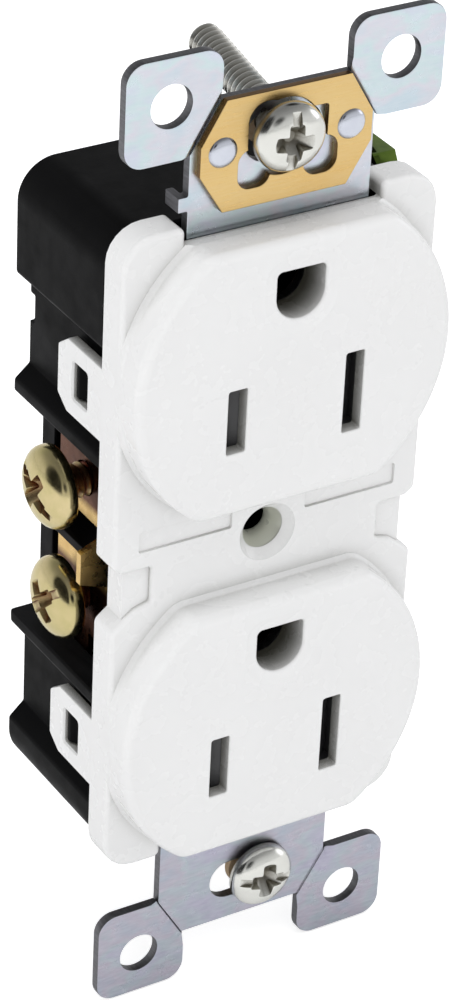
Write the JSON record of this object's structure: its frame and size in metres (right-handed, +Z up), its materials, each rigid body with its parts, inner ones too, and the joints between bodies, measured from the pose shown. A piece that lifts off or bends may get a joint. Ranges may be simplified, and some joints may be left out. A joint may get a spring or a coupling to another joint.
{
  "type": "duplex wall outlet",
  "caption": "Duplex grounded wall outlet: white socket faces, black back body, plated strap with ears, side terminal screws and sliding slot shutters.",
  "frame": {"origin": "centre of the cover-plate screw hole, on the front plane of the mounting strap", "axes": "+X to the right seen from the room, +Y into the wall, +Z up with both ground holes above their slots"},
  "size_m": [0.0377, 0.0239, 0.1036],
  "materials": {
    "white_plastic": "moulded, satin gloss",
    "black_plastic": "moulded, satin",
    "zinc_steel": "zinc-plated sheet, slightly mottled",
    "strip_brass": "brushed golden brass sheet",
    "rivet_steel": "plated rivet head",
    "contact_brass": "stamped brass sheet, slightly tarnished",
    "screw_brass": "yellow-plated, glossy",
    "screw_nickel": "nickel-plated, glossy",
    "screw_green": "green dyed plating",
    "fibre": "pressed fibre washer",
    "grey_plastic": "moulded, smooth",
    "spring_steel": "drawn wire"
  },
  "bodies": {
    "housing": {"cover": "white_plastic", "back_body": "black_plastic", "mounting_strap": "zinc_steel", "grounding_clip": "strip_brass", "clip_rivets": "rivet_steel", "ground_contact_upper": "contact_brass", "ground_contact_lower": "contact_brass", "ground_rivets": "contact_brass", "hot_strip": "contact_brass", "neutral_strip": "contact_brass", "shutter_guide_upper": "grey_plastic", "shutter_guide_lower": "grey_plastic", "shutter_spring_upper": "spring_steel", "shutter_spring_lower": "spring_steel"},
    "hot_screw_upper": {"hot_screw_upper": "screw_brass"},
    "hot_screw_lower": {"hot_screw_lower": "screw_brass"},
    "neutral_screw_upper": {"neutral_screw_upper": "screw_nickel"},
    "neutral_screw_lower": {"neutral_screw_lower": "screw_nickel"},
    "ground_screw": {"ground_screw": "screw_green"},
    "top_screw_retainer": {"top_screw_retainer": "fibre"},
    "top_mounting_screw": {"top_mounting_screw": "screw_nickel"},
    "bottom_screw_retainer": {"bottom_screw_retainer": "fibre"},
    "bottom_mounting_screw": {"bottom_mounting_screw": "screw_nickel"},
    "hot_shutter_upper": {"hot_shutter_upper": "grey_plastic"},
    "neutral_shutter_upper": {"neutral_shutter_upper": "grey_plastic"},
    "hot_shutter_lower": {"hot_shutter_lower": "grey_plastic"},
    "neutral_shutter_lower": {"neutral_shutter_lower": "grey_plastic"}
  },
  "joints": [
    {"name": "hot_screw_upper_turn_out", "type": "slide", "parent": "housing", "child": "hot_screw_upper", "axis": [-1, 0, 0], "range_m": [-0.0028, 0.001]},
    {"name": "hot_screw_lower_turn_out", "type": "slide", "parent": "housing", "child": "hot_screw_lower", "axis": [-1, 0, 0], "range_m": [-0.0017, 0.0021]},
    {"name": "neutral_screw_upper_turn_out", "type": "slide", "parent": "housing", "child": "neutral_screw_upper", "axis": [1, 0, 0], "range_m": [-0.0017, 0.0021]},
    {"name": "neutral_screw_lower_turn_out", "type": "slide", "parent": "housing", "child": "neutral_screw_lower", "axis": [1, 0, 0], "range_m": [-0.0017, 0.0021]},
    {"name": "ground_screw_turn_out", "type": "slide", "parent": "housing", "child": "ground_screw", "axis": [1, 0, 0], "range_m": [-0.0004, 0.003]},
    {"name": "top_screw_sideways", "type": "slide", "parent": "housing", "child": "top_screw_retainer", "axis": [1, 0, 0], "range_m": [-0.0015, 0.0015]},
    {"name": "top_screw_feed", "type": "slide", "parent": "top_screw_retainer", "child": "top_mounting_screw", "axis": [-0.1129, -0.9909, -0.0732], "range_m": [0, 0.014]},
    {"name": "bottom_screw_sideways", "type": "slide", "parent": "housing", "child": "bottom_screw_retainer", "axis": [1, 0, 0], "range_m": [-0.0035, 0.0002]},
    {"name": "bottom_screw_feed", "type": "slide", "parent": "bottom_screw_retainer", "child": "bottom_mounting_screw", "axis": [0, -1, 0], "range_m": [-0.0002, 0.014]},
    {"name": "hot_shutter_upper_slide", "type": "slide", "parent": "housing", "child": "hot_shutter_upper", "axis": [1, 0, 0], "range_m": [0, 0.0031], "stiffness_N_per_m": 60, "springref_m": -0.002, "deforming": ["shutter_spring_upper"]},
    {"name": "neutral_shutter_upper_slide", "type": "slide", "parent": "housing", "child": "neutral_shutter_upper", "axis": [-1, 0, 0], "range_m": [0, 0.0031], "stiffness_N_per_m": 60, "springref_m": -0.002},
    {"name": "hot_shutter_lower_slide", "type": "slide", "parent": "housing", "child": "hot_shutter_lower", "axis": [1, 0, 0], "range_m": [0, 0.0031], "stiffness_N_per_m": 60, "springref_m": -0.002, "deforming": ["shutter_spring_lower"]},
    {"name": "neutral_shutter_lower_slide", "type": "slide", "parent": "housing", "child": "neutral_shutter_lower", "axis": [-1, 0, 0], "range_m": [0, 0.0031], "stiffness_N_per_m": 60, "springref_m": -0.002}
  ],
  "couplings": [
    {"joint": "neutral_shutter_upper_slide", "follows": "hot_shutter_upper_slide", "ratio": 1},
    {"joint": "neutral_shutter_lower_slide", "follows": "hot_shutter_lower_slide", "ratio": 1}
  ]
}
